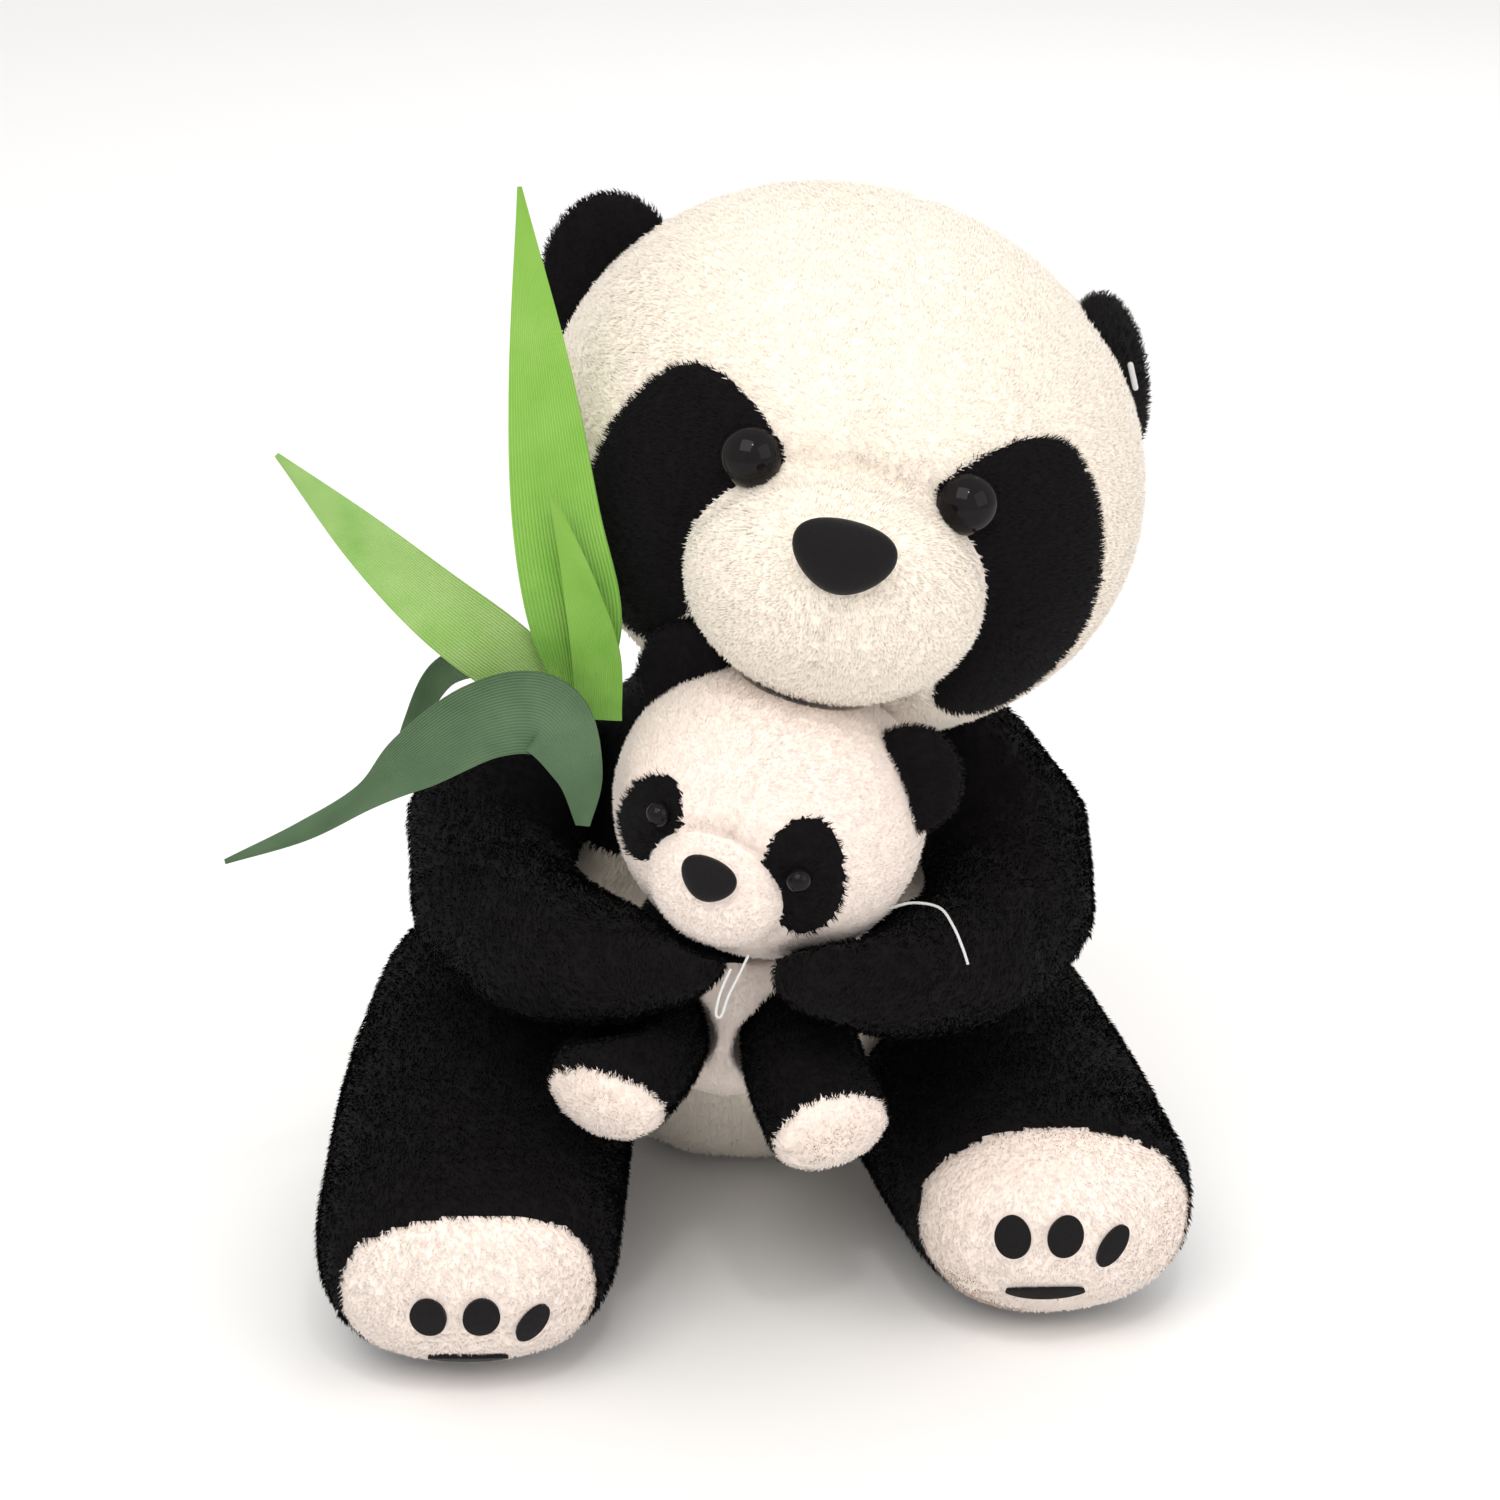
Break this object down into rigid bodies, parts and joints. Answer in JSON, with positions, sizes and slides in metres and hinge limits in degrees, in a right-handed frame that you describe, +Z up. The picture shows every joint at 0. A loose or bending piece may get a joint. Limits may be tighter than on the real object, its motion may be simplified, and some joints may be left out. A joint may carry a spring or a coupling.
{
  "type": "plush panda",
  "caption": "Seated plush panda hugging a smaller panda, stuffed, with a turned head, flat-soled legs and a sprig of fabric bamboo leaves at its cheek.",
  "frame": {"origin": "on the flat seat under the body, at the height of the surface it sits on", "axes": "+Z up; the panda faces -Y; +X is to the right of someone looking at its face"},
  "size_m": [0.2829, 0.2378, 0.3312],
  "materials": {
    "white_plush": "matte",
    "black_plush": "matte",
    "black_velvet": "matte",
    "stuffing": "matte",
    "black_plastic": "gloss",
    "clear_plastic": "satin",
    "light_leaf": "satin",
    "dark_leaf": "satin",
    "stem_green": "satin"
  },
  "bodies": {
    "torso_and_baby": {"torso_yoke_skin": "black_plush", "torso_body_skin": "white_plush", "torso_filling": "stuffing", "tail": "white_plush", "baby_head_skin": "white_plush", "baby_head_filling": "stuffing", "baby_muzzle": "white_plush", "baby_nose": "black_velvet", "baby_body": "white_plush", "tie_thread_cheek": "clear_plastic", "tie_thread_chin": "clear_plastic", "baby_eye_patch_left": "black_plush", "baby_eye_left": "black_plastic", "baby_ear_left": "black_plush", "baby_leg_left": "black_plush", "baby_foot_pad_left": "white_plush", "baby_eye_patch_right": "black_plush", "baby_eye_right": "black_plastic", "baby_ear_right": "black_plush", "baby_leg_right": "black_plush", "baby_foot_pad_right": "white_plush"},
    "head": {"head_skin": "white_plush", "head_filling": "stuffing", "muzzle": "white_plush", "nose": "black_velvet", "ear_tag_pin": "clear_plastic", "eye_patch_left": "black_plush", "eye_left": "black_plastic", "eye_washer_left": "clear_plastic", "ear_left": "black_plush", "eye_patch_right": "black_plush", "eye_right": "black_plastic", "eye_washer_right": "clear_plastic", "ear_right": "black_plush"},
    "arm_left": {"arm_skin_left": "black_plush", "arm_filling_left": "stuffing"},
    "arm_right": {"arm_skin_right": "black_plush", "arm_filling_right": "stuffing"},
    "leg_left": {"leg_skin_left": "black_plush", "sole_left": "white_plush", "leg_filling_left": "stuffing", "heel_bar_left": "black_velvet", "toe_pad_left_1": "black_velvet", "toe_pad_left_2": "black_velvet", "toe_pad_left_3": "black_velvet"},
    "leg_right": {"leg_skin_right": "black_plush", "sole_right": "white_plush", "leg_filling_right": "stuffing", "heel_bar_right": "black_velvet", "toe_pad_right_1": "black_velvet", "toe_pad_right_2": "black_velvet", "toe_pad_right_3": "black_velvet"},
    "bamboo_sprig": {"sprig_stem": "stem_green", "leaf_upright": "light_leaf", "leaf_short": "light_leaf", "leaf_left": "light_leaf", "leaf_drooping": "dark_leaf", "leaf_back": "dark_leaf"}
  },
  "joints": [
    {"name": "head_nod", "type": "hinge", "parent": "torso_and_baby", "child": "head", "pos_m": [0.031, 0.004, 0.208], "axis": [-1, 0, 0], "range_deg": [0, 12]},
    {"name": "arm_left_open", "type": "hinge", "parent": "torso_and_baby", "child": "arm_left", "pos_m": [-0.064, 0.01, 0.138], "axis": [0, 0, -1], "range_deg": [0, 10], "stiffness_Nm_per_rad": 0.08, "springref_deg": -6.88},
    {"name": "arm_right_open", "type": "hinge", "parent": "torso_and_baby", "child": "arm_right", "pos_m": [0.062, 0.012, 0.136], "axis": [0, 0, 1], "range_deg": [0, 10], "stiffness_Nm_per_rad": 0.08, "springref_deg": -6.88},
    {"name": "leg_left_splay", "type": "hinge", "parent": "torso_and_baby", "child": "leg_left", "pos_m": [-0.066, 0.014, 0.039], "axis": [0, 0, -1], "range_deg": [0, 20], "stiffness_Nm_per_rad": 0.1, "springref_deg": -6.88},
    {"name": "leg_right_splay", "type": "hinge", "parent": "torso_and_baby", "child": "leg_right", "pos_m": [0.066, 0.014, 0.039], "axis": [0, 0, 1], "range_deg": [0, 20], "stiffness_Nm_per_rad": 0.1, "springref_deg": -6.88},
    {"name": "sprig_bend", "type": "hinge", "parent": "torso_and_baby", "child": "bamboo_sprig", "pos_m": [-0.052, -0.052, 0.16], "axis": [0, -1, 0], "range_deg": [0, 12], "stiffness_Nm_per_rad": 0.02, "springref_deg": -20.05}
  ]
}
